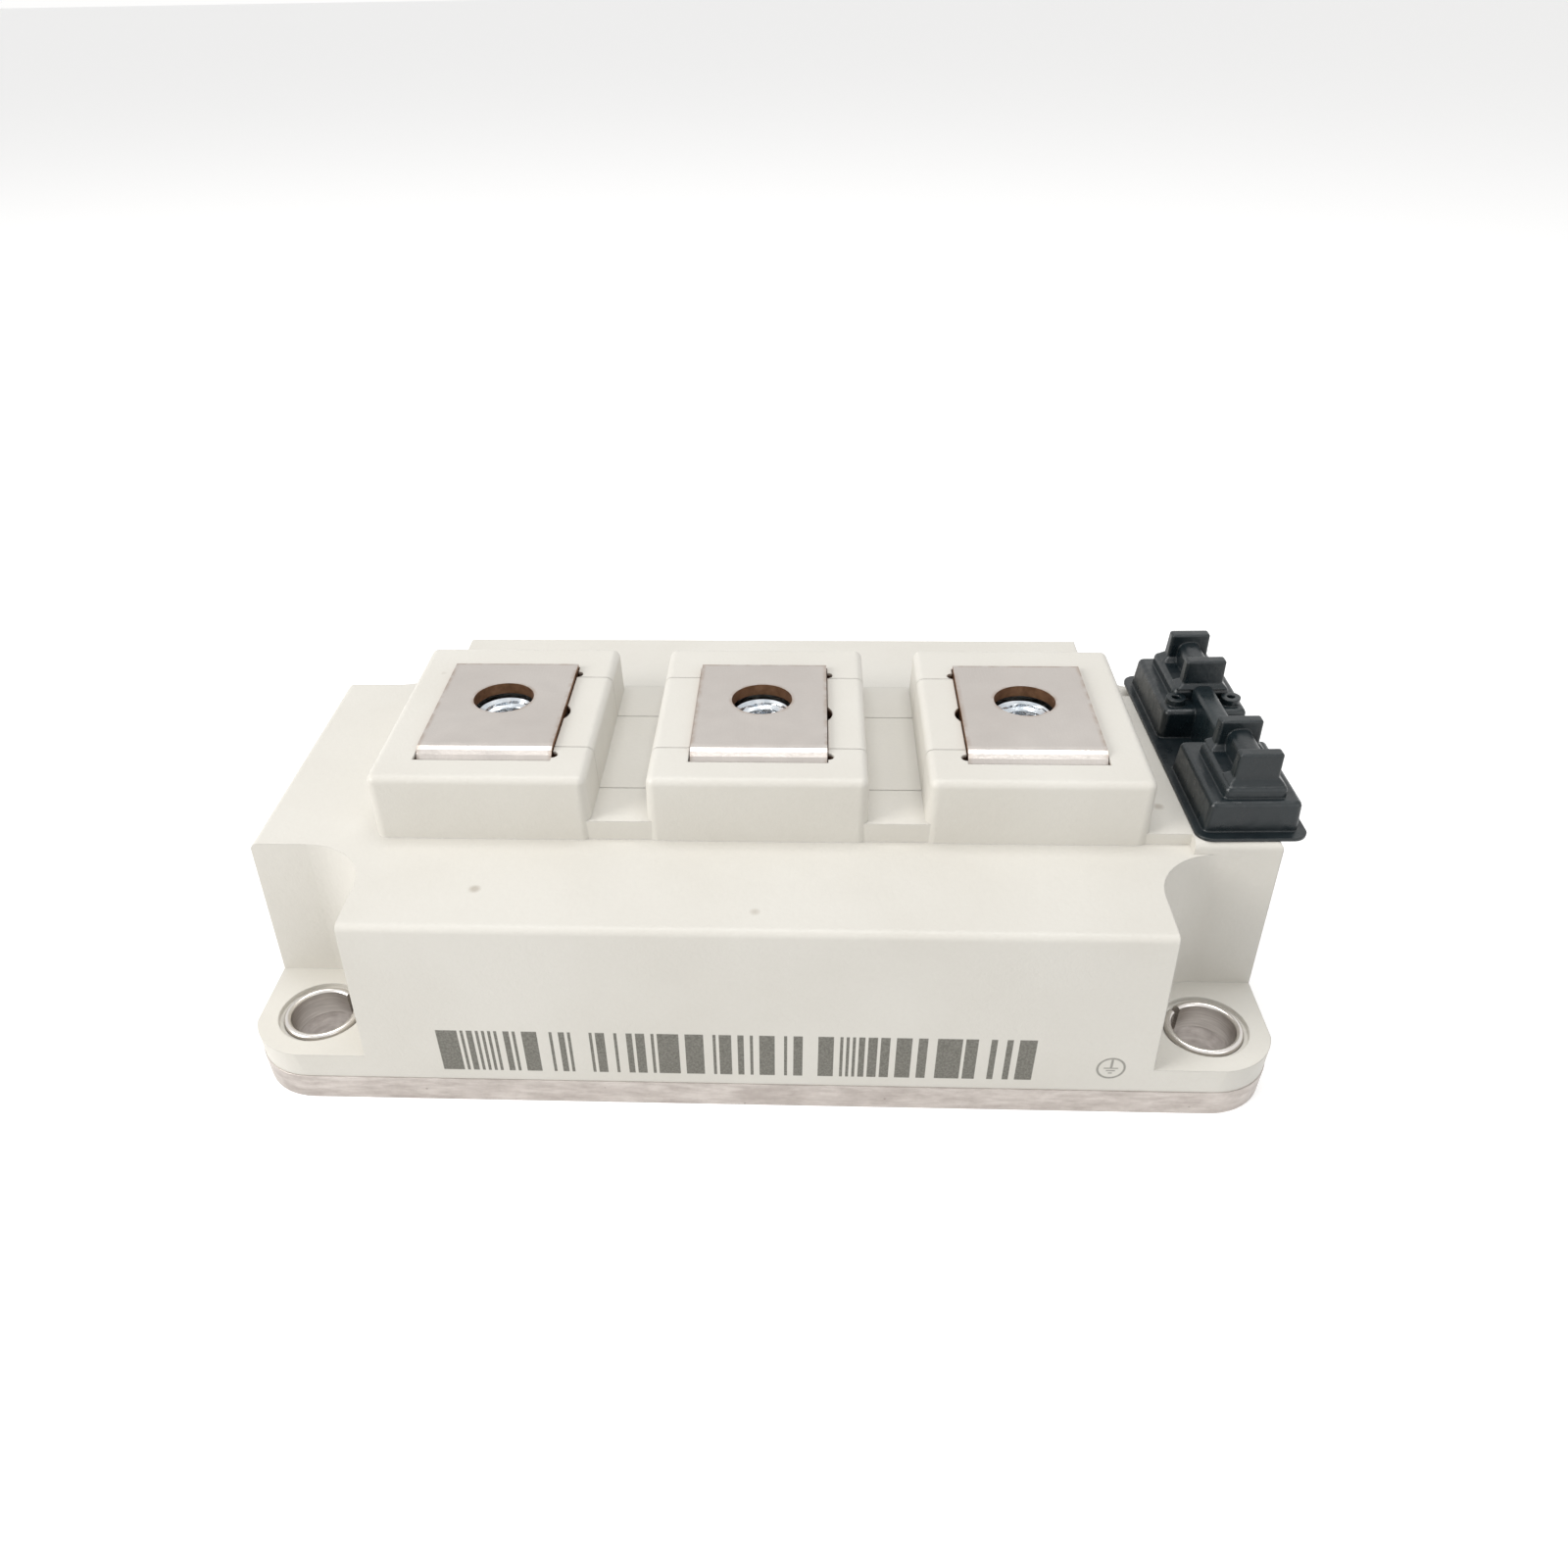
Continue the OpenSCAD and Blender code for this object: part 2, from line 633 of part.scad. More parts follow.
module protective_cap() {
    color("#15191b") translate([tab_x, row_shift, 0]) rotate([0, 0, cap_skew]) {
        difference() {
            union() {
                translate([0, 0, z_rim]) linear_extrude(sheet_t) rounded_plan(rim_x, rim_y, 1.6);
                cap_form(0);
                pocket_feet();
            }
            cap_form(sheet_t);
        }
        ring_bosses();
    }
}

// ---- ceramic tiles with their copper

// Mirrors a tile's children to the left or keeps them on the right
module tile_side(left) mirror([left ? 1 : 0, 0, 0]) children();

module back_copper() {
    translate([tile_x0 + copper_edge, -tile_w / 2 + copper_edge, z_base])
        cube([tile_l - 2 * copper_edge, tile_w - 2 * copper_edge, copper_t]);
}

module ceramic() {
    translate([tile_x0, -tile_w / 2, z_ceramic]) cube([tile_l, tile_w, ceramic_t]);
}

// Chip track behind, foot track in front, and one small pad for each control lead
module track_copper() {
    x0 = tile_x0 + copper_edge;
    y0 = -tile_w / 2 + copper_edge;
    translate([x0, y0, z_track]) cube([track_x1 - x0, track_split - track_gap - y0, copper_t]);
    translate([x0, track_split, z_track]) cube([track_x1 - x0, -y0 - track_split, copper_t]);
    for (y = tab_y) translate([control_pad_x, y - control_pad_w / 2, z_track])
        cube([control_pad_w, control_pad_w, copper_t]);
}

module chips(side, y) {
    for (x = chip_x) translate([x - side / 2, y - side / 2, z_chip]) cube([side, side, chip_t]);
}

// Loop of wire from y0 to y1, standing on the levels z0 and z1
module wire_loop(y0, z0, y1, z1) {
    top = max(z0, z1) + wire_rise;
    foot = wire_t * 2;
    run = (y1 - y0) / 4;
    along_x(wire_t) polygon([[y0, z0], [y0 + foot, z0], [y0 + run + wire_t, top - wire_t],
                             [y1 - run - wire_t, top - wire_t], [y1 - foot, z1], [y1, z1],
                             [y1, z1 + wire_t], [y1 - foot, z1 + wire_t], [y1 - run, top],
                             [y0 + run, top], [y0 + foot, z0 + wire_t], [y0, z0 + wire_t]]);
}

module bond_wires() {
    z_top = z_chip + chip_t;
    for (x = chip_x, k = [0:wires_per_chip - 1])
        translate([x + (k - (wires_per_chip - 1) / 2) * wire_pitch, 0, 0]) {
            wire_loop(transistor_y + 1, z_top, diode_y + 1, z_top);
            wire_loop(track_split - track_gap - 2, z_chip, transistor_y - 1, z_top);
        }
}

module back_copper_left() { color("peru") tile_side(true) back_copper(); }
module back_copper_right() { color("peru") tile_side(false) back_copper(); }
module ceramic_left() { color("white") tile_side(true) ceramic(); }
module ceramic_right() { color("white") tile_side(false) ceramic(); }
module track_copper_left() { color("peru") tile_side(true) track_copper(); }
module track_copper_right() { color("peru") tile_side(false) track_copper(); }
module transistor_chips_left() { color("slategray") tile_side(true) chips(transistor_l, transistor_y); }
module transistor_chips_right() { color("slategray") tile_side(false) chips(transistor_l, transistor_y); }
module diode_chips_left() { color("dimgray") tile_side(true) chips(diode_l, diode_y); }
module diode_chips_right() { color("dimgray") tile_side(false) chips(diode_l, diode_y); }
module bond_wires_left() { color("gainsboro") tile_side(true) bond_wires(); }
module bond_wires_right() { color("gainsboro") tile_side(false) bond_wires(); }

// ---- control leads

lead_z = z_chip + 3;
lead_pad_x = control_pad_x + control_pad_w / 2;

// Lead from the tab's root down, across and down to its pad, grown by more for the gel's cut
module lead(y, more) {
    r = lead_d / 2 + more;
    translate([tab_x, y, lead_z]) cylinder(r = r, h = z_tab_root - lead_z + more);
    translate([tab_x, y, lead_z]) sphere(r);
    translate([lead_pad_x, y, lead_z]) rotate([0, 90, 0]) cylinder(r = r, h = tab_x - lead_pad_x);
    translate([lead_pad_x, y, lead_z]) sphere(r);
    translate([lead_pad_x, y, z_chip]) cylinder(r = r, h = lead_z - z_chip);
}

module control_leads() {
    color("white") for (y = tab_y) lead(y, 0);
}

// ---- gel

module silicone_gel() {
    color("lightcyan") difference() {
        translate([0, 0, z_base]) linear_extrude(gel_h) cavity_plan(0);
        for (s = [0, 1]) mirror([s, 0, 0])
            translate([tile_x0, -tile_w / 2, z_base - e]) cube([tile_l, tile_w, gel_roof - z_base + e]);
        for (i = [-1:1]) translate([i * terminal_pitch - leg_w / 2, -leg_front - bend_r - foot_l, z_base - e])
            cube([leg_w, foot_l + bend_r + plate_t, gel_h + 2 * e]);
        for (y = tab_y) lead(y, 0);
    }
}

base_plate();
housing();
nut_bar();
main_terminal_left();
main_terminal_centre();
main_terminal_right();
hex_nut_left();
hex_nut_centre();
hex_nut_right();
sleeve_front_left();
sleeve_front_right();
sleeve_rear_left();
sleeve_rear_right();
control_tab_1();
control_tab_2();
control_tab_3();
control_tab_4();
protective_cap();
seal_bead();
back_copper_left();
back_copper_right();
ceramic_left();
ceramic_right();
track_copper_left();
track_copper_right();
transistor_chips_left();
transistor_chips_right();
diode_chips_left();
diode_chips_right();
bond_wires_left();
bond_wires_right();
control_leads();
silicone_gel();
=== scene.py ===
import bpy
import math
from mathutils import Matrix, Vector


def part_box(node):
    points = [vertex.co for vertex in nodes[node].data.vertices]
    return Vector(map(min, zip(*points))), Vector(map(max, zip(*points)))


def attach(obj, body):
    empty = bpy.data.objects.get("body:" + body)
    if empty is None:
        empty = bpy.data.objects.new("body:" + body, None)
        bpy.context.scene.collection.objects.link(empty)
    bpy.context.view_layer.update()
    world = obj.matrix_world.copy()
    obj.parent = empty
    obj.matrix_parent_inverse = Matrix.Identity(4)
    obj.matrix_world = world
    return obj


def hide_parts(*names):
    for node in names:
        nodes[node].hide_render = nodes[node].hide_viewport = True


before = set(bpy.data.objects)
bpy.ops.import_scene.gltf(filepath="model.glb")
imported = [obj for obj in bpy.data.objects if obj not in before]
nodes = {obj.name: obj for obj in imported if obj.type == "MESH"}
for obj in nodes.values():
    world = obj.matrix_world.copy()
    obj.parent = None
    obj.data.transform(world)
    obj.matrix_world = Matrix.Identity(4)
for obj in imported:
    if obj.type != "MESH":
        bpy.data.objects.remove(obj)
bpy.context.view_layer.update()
scene = bpy.context.scene
MM = 0.001

# ---- camera
# The module is seen from just above its long side and from close by, so the lens is wide
# and shifted.
EYE_MM = (4.622, -115.757, 93.176)
yaw, pitch, roll = math.radians(3.02), math.radians(40.225), math.radians(-1.124)
forward = Vector((-math.sin(yaw) * math.cos(pitch), math.cos(yaw) * math.cos(pitch),
                  -math.sin(pitch)))
level = Vector((math.cos(yaw), math.sin(yaw), 0))
upward = level.cross(forward)
right = math.cos(roll) * level + math.sin(roll) * upward
upward = -math.sin(roll) * level + math.cos(roll) * upward
view = bpy.data.cameras.new("view")
view.lens = 27.54
view.sensor_width = 36
view.shift_x = 0.0197
view.shift_y = 0.1059
view.clip_start = 0.005
camera = bpy.data.objects.new("camera", view)
camera.matrix_world = Matrix.Translation(Vector(EYE_MM) * MM) @ Matrix(
    (right, upward, -forward)).transposed().to_4x4()
scene.collection.objects.link(camera)
scene.camera = camera
scene.view_settings.view_transform = "Standard"


# ---- housing and nut bar
# Both are ivory glass-filled mouldings with a fine spark-eroded skin. The nut bar drops into
# the housing's roof from above and shows as a seam beside each terminal. The front wall is
# laser marked with a row of bars and the earth sign.
TERMINAL_PITCH = 28.0
FRONT_WALL = (-30.0, -30.15)
BARS_X = (-32.0, 28.0)
BARS_Z = (4.35, 9.85)
BAR_MODULE = 0.31
EARTH_X, EARTH_Z = 35.7, 6.2


class Wiring:
    """Adds nodes to a tree; a socket is set from a number, a colour, a vector or another socket."""

    def __init__(self, tree):
        self.tree = tree

    def add(self, kind, inputs=None, **settings):
        node = self.tree.nodes.new(kind)
        for name, value in settings.items():
            setattr(node, name, value)
        for name, value in (inputs or {}).items():
            self.wire(value, node.inputs[name])
        return node

    def wire(self, value, socket):
        if isinstance(value, bpy.types.NodeSocket):
            self.tree.links.new(value, socket)
        elif isinstance(value, tuple) and socket.type == "RGBA":
            socket.default_value = value[:3] + (1.0,)
        else:
            socket.default_value = value

    def math(self, operation, a, b=0.0, c=0.0):
        node = self.add("ShaderNodeMath", {0: a, 1: b, 2: c}, operation=operation)
        return node.outputs[0]

    def all(self, *masks):
        found = masks[0]
        for mask in masks[1:]:
            found = self.math("MULTIPLY", found, mask)
        return found

    def either(self, *masks):
        found = masks[0]
        for mask in masks[1:]:
            found = self.math("MAXIMUM", found, mask)
        return found

    def ramp(self, value, low, high, to_low=0.0, to_high=1.0):
        return self.add("ShaderNodeMapRange", {"Value": value, "From Min": low, "From Max": high,
                                               "To Min": to_low, "To Max": to_high}).outputs["Result"]

    def within(self, value, low, high, soft=0.03):
        """One between low and high, with soft edges."""
        return self.all(self.ramp(value, low - soft, low + soft), self.ramp(value, high + soft, high - soft))

    def mix(self, share, a, b):
        node = self.add("ShaderNodeMix", data_type="RGBA")
        for value, name in ((share, "Factor_Float"), (a, "A_Color"), (b, "B_Color")):
            self.wire(value, next(s for s in node.inputs if s.identifier == name))
        return next(s for s in node.outputs if s.identifier == "Result_Color")

    def noise(self, where, scale, detail=2.0, rough=0.5):
        return self.add("ShaderNodeTexNoise", {"Vector": where, "Scale": scale, "Detail": detail,
                                               "Roughness": rough}).outputs["Fac"]

    def stretch(self, where, x, y, z):
        return self.add("ShaderNodeVectorMath", {0: where, 1: (x, y, z)}, operation="MULTIPLY").outputs[0]

    def parts(self, vector):
        return self.add("ShaderNodeSeparateXYZ", {0: vector}).outputs

    def place(self):
        """Object coordinates in millimetres."""
        coords = self.add("ShaderNodeTexCoord").outputs["Object"]
        return self.stretch(coords, 1 / MM, 1 / MM, 1 / MM)

    def facing(self):
        """The surface's own direction in the object's frame."""
        return self.parts(self.add("ShaderNodeTexCoord").outputs["Normal"])

    def bump(self, height, depth_mm, strength=1.0, under=None):
        node = self.add("ShaderNodeBump", {"Height": height, "Distance": depth_mm * MM, "Strength": strength})
        if under is not None:
            self.wire(under, node.inputs["Normal"])
        return node.outputs[0]


def material(name, **values):
    made = bpy.data.materials.new(name)
    made.use_nodes = True
    kit = Wiring(made.node_tree)
    shader = made.node_tree.nodes["Principled BSDF"]
    for socket, value in values.items():
        kit.wire(value, shader.inputs[socket.replace("_", " ")])
    return made, kit, shader.inputs


def paint(made, *names):
    for name in names:
        mesh = nodes[name].data
        mesh.materials.clear()
        mesh.materials.append(made)


def effect(name, inputs, outputs):
    """An empty node group with named inputs and outputs."""
    group = bpy.data.node_groups.new(name, "ShaderNodeTree")
    for label, value in inputs.items():
        kind = "NodeSocketVector" if value is None else "NodeSocketFloat"
        socket = group.interface.new_socket(label, in_out="INPUT", socket_type=kind)
        if value is not None:
            socket.default_value = value
    for label in outputs:
        group.interface.new_socket(label, in_out="OUTPUT", socket_type="NodeSocketFloat")
    kit = Wiring(group)
    return group, kit, kit.add("NodeGroupInput").outputs, kit.add("NodeGroupOutput").inputs


# skin: slow drift of tone and a fine grain
skin, kit, given, result = effect("skin", {"Where": None, "Drift": 0.05, "Grain": 2.5}, ["Tone", "Height"])
slow = kit.ramp(kit.noise(given["Where"], 0.06, 3.0), 0.35, 0.65, -1, 1)
fine = kit.ramp(kit.noise(given["Where"], given["Grain"], 3.0), 0.3, 0.7, -1, 1)
kit.wire(kit.math("ADD", 1.0, kit.math("MULTIPLY", given["Drift"],
                                      kit.math("MULTIPLY_ADD", fine, 0.3, slow))), result["Tone"])
kit.wire(fine, result["Height"])

# specks: sparse small marks, as from handling
specks, kit, given, result = effect("specks", {"Where": None, "Scale": 0.5, "Share": 0.06}, ["Mask"])
cell = kit.add("ShaderNodeTexVoronoi", {"Vector": given["Where"], "Scale": given["Scale"]})
pick = kit.math("LESS_THAN", kit.parts(cell.outputs["Color"])[0], given["Share"])
kit.wire(kit.all(pick, kit.ramp(cell.outputs["Distance"], 0.16, 0.06)), result["Mask"])


def use(kit, group, **values):
    node = kit.add("ShaderNodeGroup", node_tree=group)
    for name, value in values.items():
        kit.wire(value, node.inputs[name])
    return node.outputs


ivory, kit, face = material("ivory moulding", Specular_IOR_Level=0.4)
where = kit.place()
x, y, z = kit.parts(where)
grain = use(kit, skin, Where=where, Drift=0.02, Grain=2.2)
tone = kit.mix(kit.ramp(grain["Tone"], 0.96, 1.04), (0.640, 0.617, 0.565),
               (0.700, 0.682, 0.635))
tone = kit.mix(kit.math("MULTIPLY", use(kit, specks, Where=where, Scale=0.22, Share=0.05)["Mask"], 0.5),
               tone, (0.30, 0.25, 0.19))

# shade inside the small hollows beside the terminals
beside = kit.math("ABSOLUTE", kit.math("WRAP", x, TERMINAL_PITCH / 2, -TERMINAL_PITCH / 2))
hollow = kit.all(kit.within(beside, 6.9, 8.6), kit.within(y, -12.6, 9.0), kit.ramp(z, 29.85, 29.6),
                 kit.ramp(z, 26.0, 27.0))
tone = kit.mix(hollow, tone, (0.10, 0.052, 0.03))

# laser marking on the front wall: a generic run of bars
on_front = kit.ramp(y, *FRONT_WALL)
step = kit.math("FLOOR", kit.math("DIVIDE", kit.math("ADD", x, -BARS_X[0]), BAR_MODULE))
pair = kit.math("FLOOR", kit.math("MULTIPLY", step, 0.5))
chance = kit.add("ShaderNodeTexWhiteNoise", {"W": step}, noise_dimensions="1D").outputs["Value"]
wide = kit.add("ShaderNodeTexWhiteNoise", {"W": kit.math("ADD", pair, 311.0)},
               noise_dimensions="1D").outputs["Value"]
filled = kit.either(kit.math("GREATER_THAN", chance, 0.58), kit.math("GREATER_THAN", wide, 0.66))
bars = kit.all(filled, kit.within(x, *BARS_X), kit.within(z, *BARS_Z, 0.05), on_front)

# and the earth sign: a ring, a stem and three short bars
across = kit.math("ABSOLUTE", kit.math("SUBTRACT", x, EARTH_X))
height = kit.math("SUBTRACT", z, EARTH_Z)
reach = kit.math("SQRT", kit.math("ADD", kit.math("MULTIPLY", across, across),
                                  kit.math("MULTIPLY", height, height)))
ring = kit.within(reach, 1.22, 1.45, 0.05)
stem = kit.all(kit.ramp(across, 0.16, 0.08), kit.within(height, 0.0, 1.25, 0.05))
sign = kit.either(ring, stem)
for level_mm, half in ((0.0, 0.72), (-0.33, 0.46), (-0.66, 0.2)):
    sign = kit.either(sign, kit.all(kit.ramp(across, half + 0.05, half - 0.05),
                                    kit.within(height, level_mm - 0.08, level_mm + 0.08, 0.05)))
sign = kit.all(sign, on_front)
burn = kit.ramp(kit.noise(where, 5.0, 3.0), 0.3, 0.7, 0.82, 1.0)
marked = kit.math("MULTIPLY", kit.either(bars, kit.math("MULTIPLY", sign, 0.72)), burn)
tone = kit.mix(kit.math("MULTIPLY", marked, 0.93), tone, (0.075, 0.072, 0.055))
kit.wire(tone, face["Base Color"])
kit.wire(kit.ramp(kit.noise(where, 0.4, 3.0), 0.3, 0.7, 0.40, 0.50), face["Roughness"])
softened = kit.add("ShaderNodeBevel", {"Radius": 0.22 * MM}, samples=6).outputs[0]
kit.wire(kit.bump(grain["Height"], 0.012, 0.5, softened), face["Normal"])
paint(ivory, "housing", "nut_bar")

# ---- base plate
# Copper plate with dull electroless nickel; the edges are sheared and tumbled, so they are
# mottled and lightly pitted.
scuffs, kit, given, result = effect("scuffs", {"Where": None, "Scale": 1.0}, ["Mask"])
warp = kit.noise(given["Where"], 0.12, 2.0)
line = kit.add("ShaderNodeTexWave", {"Vector": given["Where"], "Scale": given["Scale"], "Distortion": 9.0,
                                     "Detail": 3.0, "Detail Scale": 0.6}, wave_profile="SAW").outputs["Fac"]
kit.wire(kit.all(kit.ramp(line, 0.90, 1.0), kit.ramp(warp, 0.48, 0.62)), result["Mask"])

plate_nickel, kit, face = material("dull nickel", Metallic=1.0)
where = kit.place()
grain = use(kit, skin, Where=where, Drift=0.08, Grain=1.1)
blotch = kit.ramp(kit.noise(kit.stretch(where, 0.5, 0.5, 2.2), 0.55, 5.0, 0.62), 0.36, 0.66)
tone = kit.mix(blotch, (0.415, 0.375, 0.350), (0.56, 0.52, 0.49))
pits = use(kit, specks, Where=where, Scale=0.9, Share=0.10)["Mask"]
tone = kit.mix(kit.math("MULTIPLY", pits, 0.55), tone, (0.22, 0.19, 0.17))
kit.wire(tone, face["Base Color"])
kit.wire(kit.ramp(kit.noise(where, 1.6, 4.0), 0.3, 0.7, 0.36, 0.55), face["Roughness"])
rolled = kit.add("ShaderNodeBevel", {"Radius": 0.18 * MM}, samples=6).outputs[0]
kit.wire(kit.bump(grain["Height"], 0.03, 0.6, rolled), face["Normal"])
paint(plate_nickel, "base_plate")

# ---- mounting sleeves
# Plated strip rolled into a tube and moulded into each corner; the bore keeps faint rolling lines,
# and the mouth is glossier, with its colour lightened towards the top as a painted highlight.
sleeve_nickel, kit, face = material("rolled strip", Metallic=1.0)
where = kit.place()
x, y, z = kit.parts(where)
lines = kit.noise(kit.stretch(where, 0.25, 0.25, 3.0), 2.0, 3.0)
tone = kit.mix(kit.ramp(lines, 0.3, 0.7), (0.46, 0.425, 0.395), (0.60, 0.565, 0.53))
# painted highlight: the colour is lightened over the top of the mouth
tone = kit.mix(kit.ramp(z, 5.65, 5.95), tone, (0.70, 0.67, 0.64))
kit.wire(tone, face["Base Color"])
kit.wire(kit.ramp(z, 5.6, 5.95, 0.42, 0.26), face["Roughness"])
kit.wire(kit.bump(lines, 0.02, 0.5), face["Normal"])
paint(sleeve_nickel, "sleeve_front_left", "sleeve_front_right", "sleeve_rear_left", "sleeve_rear_right")

# ---- main terminals
# Punched and bent copper bars with satin nickel. The cut sides and the wall of the bolt hole
# are thinly plated, so the copper shows through, and the bend is stretched bright.
bar_nickel, kit, face = material("satin nickel on copper", Metallic=1.0)
where = kit.place()
x, y, z = kit.parts(where)
facing = kit.facing()
beside = kit.math("WRAP", x, TERMINAL_PITCH / 2, -TERMINAL_PITCH / 2)
from_hole = kit.math("SQRT", kit.math("ADD", kit.math("MULTIPLY", beside, beside),
                                      kit.math("MULTIPLY", y, y)))
upright = kit.ramp(kit.math("ABSOLUTE", facing[2]), 0.75, 0.55)
cut = kit.either(kit.ramp(kit.math("ABSOLUTE", facing[0]), 0.75, 0.9),
                 kit.all(kit.ramp(from_hole, 3.6, 3.4), upright),
                 kit.all(kit.ramp(y, 7.6, 7.8), upright))
grain = use(kit, skin, Where=where, Drift=0.05, Grain=3.0)
tone = kit.mix(kit.ramp(grain["Tone"], 0.93, 1.07), (0.525, 0.485, 0.455),
               (0.585, 0.550, 0.520))
rub = use(kit, scuffs, Where=kit.stretch(where, 1.0, 0.35, 1.0), Scale=0.9)["Mask"]
tone = kit.mix(kit.math("MULTIPLY", rub, 0.25), tone, (0.72, 0.69, 0.66))
rim = kit.either(kit.ramp(kit.math("ABSOLUTE", beside), 6.45, 6.9), kit.ramp(y, 7.45, 7.85),
                 kit.ramp(from_hole, 3.65, 3.3))
stain = kit.all(rim, kit.ramp(kit.noise(where, 0.8, 3.0), 0.35, 0.6))
tone = kit.mix(kit.math("MULTIPLY", stain, 0.55), tone, (0.33, 0.235, 0.17))
raw = kit.mix(kit.noise(where, 1.4, 3.0), (0.12, 0.058, 0.028), (0.36, 0.20, 0.115))
kit.wire(kit.mix(cut, tone, raw), face["Base Color"])
satin = kit.ramp(kit.noise(where, 0.5, 3.0), 0.3, 0.7, 0.30, 0.40)
kit.wire(kit.ramp(cut, 0.0, 1.0, satin, 0.5), face["Roughness"])
kit.wire(kit.bump(grain["Height"], 0.008, 0.5), face["Normal"])
paint(bar_nickel, "main_terminal_left", "main_terminal_centre", "main_terminal_right")

# ---- control tabs
# Blanked from half-millimetre tinned strip, with the drawing lines left along their length.
tab_tin, kit, face = material("tinned strip", Metallic=1.0)
where = kit.place()
lines = kit.noise(kit.stretch(where, 4.0, 4.0, 0.3), 1.0, 2.0)
kit.wire(kit.mix(lines, (0.52, 0.50, 0.47), (0.66, 0.64, 0.61)), face["Base Color"])
kit.wire(kit.ramp(lines, 0.3, 0.7, 0.28, 0.42), face["Roughness"])
kit.wire(kit.bump(lines, 0.005, 0.5), face["Normal"])
paint(tab_tin, "control_tab_1", "control_tab_2", "control_tab_3", "control_tab_4")

# ---- hex nuts
# M6 nuts, pressed from steel and blue zinc plated, lying loose in their pockets under the
# terminals. Each has its thread cut here, because it shows through the bolt hole.
THREAD_PITCH = 1.0
THREAD_DEPTH = 0.55
THREAD_CREST = 2.5
THREAD_FLANK = 0.42
MOUTH_DEPTH = 0.6
LEVELS_PER_TURN = 12
STEPS_ROUND = 96
CHAMFER_START = 0.96
CHAMFER_SLOPE = math.tan(math.radians(30))
FACE_EDGE = 0.955

zinc, kit, face = material("blue zinc", Metallic=1.0)
where = kit.place()
cloud = kit.noise(where, 0.9, 3.0)
kit.wire(kit.mix(kit.ramp(cloud, 0.35, 0.65), (0.56, 0.61, 0.66), (0.74, 0.77, 0.80)),
         face["Base Color"])
kit.wire(kit.ramp(cloud, 0.3, 0.7, 0.16, 0.28), face["Roughness"])
kit.wire(kit.bump(kit.noise(where, 2.5, 3.0), 0.01, 0.5), face["Normal"])


def threaded_nut(name, node):
    low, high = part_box(node)
    middle = Vector(((low[0] + high[0]) / 2, (low[1] + high[1]) / 2, 0)) / MM
    bottom, top = low[2] / MM, high[2] / MM
    half_flat = (high[1] - low[1]) / 2 / MM
    height = top - bottom
    levels = LEVELS_PER_TURN * math.ceil(height / THREAD_PITCH)
    points, faces = [], []
    for i in range(STEPS_ROUND):
        turn = i / STEPS_ROUND
        angle = math.tau * turn
        off_flat = (angle + math.pi / 6) % (math.pi / 3) - math.pi / 6
        flat = half_flat / math.cos(off_flat)
        drop = max(0.0, flat - half_flat * CHAMFER_START) * CHAMFER_SLOPE
        rings = []
        for k in range(levels + 1):
            level_z = height * k / levels
            wave = (level_z / THREAD_PITCH - turn) % 1.0
            groove = THREAD_DEPTH * max(0.0, 1 - abs(wave - 0.5) / THREAD_FLANK)
            mouth = max(0.0, MOUTH_DEPTH - min(level_z, height - level_z))
            rings.append((THREAD_CREST + max(groove, mouth), level_z))
        rings.append((half_flat * FACE_EDGE, height))
        rings.append((flat, height - drop))
        rings.append((flat, drop))
        rings.append((half_flat * FACE_EDGE, 0.0))
        for radius, level_z in rings:
            spot = Vector((middle.x + radius * math.sin(angle), middle.y + radius * math.cos(angle),
                           bottom + level_z))
            points.append(spot * MM)
    count = len(points) // STEPS_ROUND
    for i in range(STEPS_ROUND):
        for k in range(count):
            a, b = i * count, (i + 1) % STEPS_ROUND * count
            faces.append((b + k, b + (k + 1) % count, a + (k + 1) % count, a + k))
    mesh = bpy.data.meshes.new(name)
    mesh.from_pydata(points, [], faces)
    mesh.materials.append(zinc)
    mesh.shade_smooth()
    mesh.set_sharp_from_angle(angle=math.radians(35))
    piece = bpy.data.objects.new(name, mesh)
    scene.collection.objects.link(piece)
    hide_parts(node)
    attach(piece, "root")


for side in ("left", "centre", "right"):
    threaded_nut("nut_with_thread_" + side, "hex_nut_" + side)

# ---- protective cap
# Thermoformed from thin black antistatic sheet and pushed over the control tabs, a little
# askew. The drawn edges are polished and paler than the flats.
black, kit, face = material("black sheet", Specular_IOR_Level=0.5)
where = kit.place()
grain = use(kit, skin, Where=where, Drift=0.3, Grain=1.2)
kit.wire(kit.mix(kit.ramp(grain["Tone"], 0.7, 1.3), (0.0045, 0.0085, 0.011), (0.009, 0.016, 0.019)),
         face["Base Color"])
kit.wire(kit.ramp(kit.noise(where, 0.7, 3.0), 0.3, 0.7, 0.24, 0.40), face["Roughness"])
drawn = kit.add("ShaderNodeBevel", {"Radius": 0.25 * MM}, samples=6).outputs[0]
kit.wire(kit.bump(kit.noise(where, 0.9, 2.0), 0.10, 0.5, drawn), face["Normal"])
paint(black, "protective_cap")

# ---- seal, tiles, chips, wires, leads and gel
# Everything below the roof: the white silicone bead under the housing, two ceramic tiles with
# bare copper on both faces, soldered chips with bonded wires, insulated leads and clear gel.
def matter(name, light, dark, rough, names, scale=1.0, depth=0.01, **values):
    made, kit, face = material(name, **values)
    where = kit.place()
    cloud = kit.noise(where, scale, 3.0)
    kit.wire(kit.mix(kit.ramp(cloud, 0.3, 0.7), dark, light), face["Base Color"])
    kit.wire(kit.ramp(cloud, 0.3, 0.7, rough * 0.85, rough * 1.15), face["Roughness"])
    kit.wire(kit.bump(cloud, depth, 0.5), face["Normal"])
    paint(made, *names)


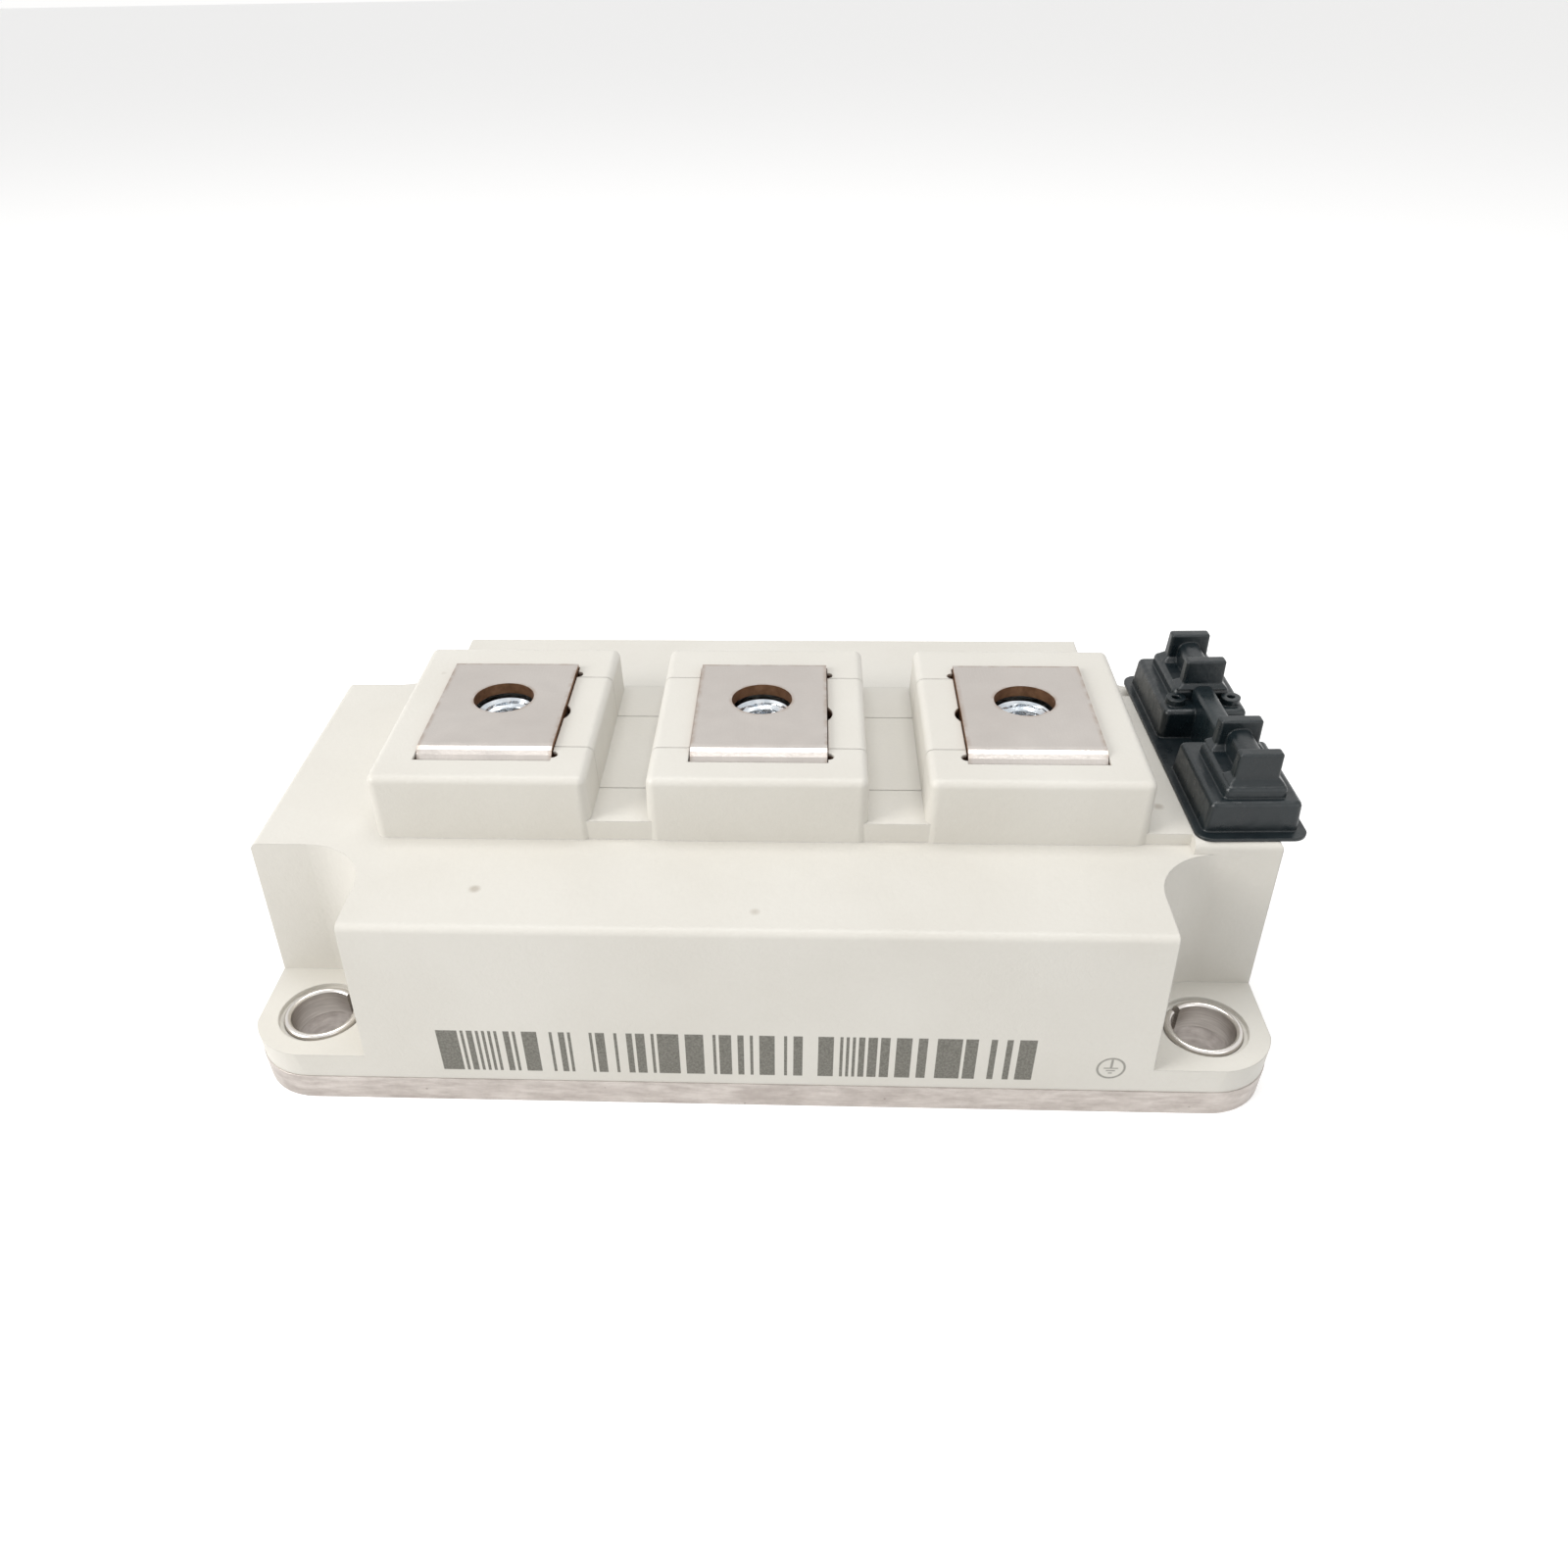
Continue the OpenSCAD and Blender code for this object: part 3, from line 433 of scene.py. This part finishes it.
matter("silicone bead", (0.70, 0.70, 0.68), (0.60, 0.60, 0.58), 0.45, ["seal_bead"], 0.6, 0.05)
matter("white ceramic", (0.82, 0.82, 0.79), (0.76, 0.76, 0.73), 0.6, ["ceramic_left", "ceramic_right"])
matter("bare copper", (0.75, 0.40, 0.27), (0.58, 0.29, 0.18), 0.35,
       ["back_copper_left", "back_copper_right", "track_copper_left", "track_copper_right"], Metallic=1.0)
matter("aluminised silicon", (0.55, 0.56, 0.58), (0.42, 0.43, 0.46), 0.28,
       ["transistor_chips_left", "transistor_chips_right"], 1.5, 0.004, Metallic=1.0)
matter("diode silicon", (0.50, 0.50, 0.51), (0.38, 0.38, 0.41), 0.28,
       ["diode_chips_left", "diode_chips_right"], 1.5, 0.004, Metallic=1.0)
matter("aluminium wire", (0.80, 0.80, 0.81), (0.70, 0.70, 0.72), 0.25,
       ["bond_wires_left", "bond_wires_right"], 3.0, 0.004, Metallic=1.0)
matter("lead insulation", (0.78, 0.77, 0.73), (0.70, 0.69, 0.66), 0.5, ["control_leads"])
matter("clear gel", (0.80, 0.86, 0.88), (0.74, 0.80, 0.83), 0.12, ["silicone_gel"], 0.3, 0.05,
       Transmission_Weight=0.85, IOR=1.41)

# ---- floor and studio
# A plain white table under one large overhead diffuser, a key from the left and a weak fill.
# Seen straight on, or in metal, the table and the room are white; the module keeps its shadow.
def seen_direct(kit):
    path = kit.add("ShaderNodeLightPath").outputs
    return kit.either(path["Is Camera Ray"], path["Is Glossy Ray"], path["Is Transmission Ray"])


table, kit, face = material("white table", Base_Color=(0.80, 0.80, 0.80), Roughness=0.9,
                            Specular_IOR_Level=0.2, Emission_Color=(1.0, 1.0, 1.0))
kit.wire(kit.math("MULTIPLY", seen_direct(kit), 0.42), face["Emission Strength"])
mesh = bpy.data.meshes.new("floor")
REACH = 3.0
mesh.from_pydata([(-REACH, -REACH, 0), (REACH, -REACH, 0), (REACH, REACH, 0), (-REACH, REACH, 0)], [],
                 [(0, 1, 2, 3)])
mesh.materials.append(table)
floor = bpy.data.objects.new("floor", mesh)
scene.collection.objects.link(floor)

world = bpy.data.worlds.new("studio")
world.use_nodes = True
kit = Wiring(world.node_tree)
sky = world.node_tree.nodes["Background"].inputs
kit.wire((1.0, 0.995, 0.985), sky["Color"])
kit.wire(kit.ramp(seen_direct(kit), 0.0, 1.0, 0.50, 1.0), sky["Strength"])
scene.world = world


def lamp(name, place_mm, aim_mm, size_mm, watts, tint=(1.0, 1.0, 1.0)):
    light = bpy.data.lights.new(name, "AREA")
    light.shape = "RECTANGLE"
    light.size, light.size_y = size_mm[0] * MM, size_mm[1] * MM
    light.energy = watts
    light.color = tint
    holder = bpy.data.objects.new(name, light)
    spot = Vector(place_mm) * MM
    holder.matrix_world = Matrix.Translation(spot) @ (
        (Vector(aim_mm) * MM - spot).to_track_quat("-Z", "Y").to_matrix().to_4x4())
    scene.collection.objects.link(holder)


lamp("key", (-520, -260, 300), (0, 0, 10), (300, 300), 2.6, (1.0, 0.985, 0.96))
lamp("overhead", (0, 40, 560), (0, 0, 10), (420, 240), 1.4)
lamp("fill", (350, -380, 260), (0, 0, 10), (300, 300), 0.35)
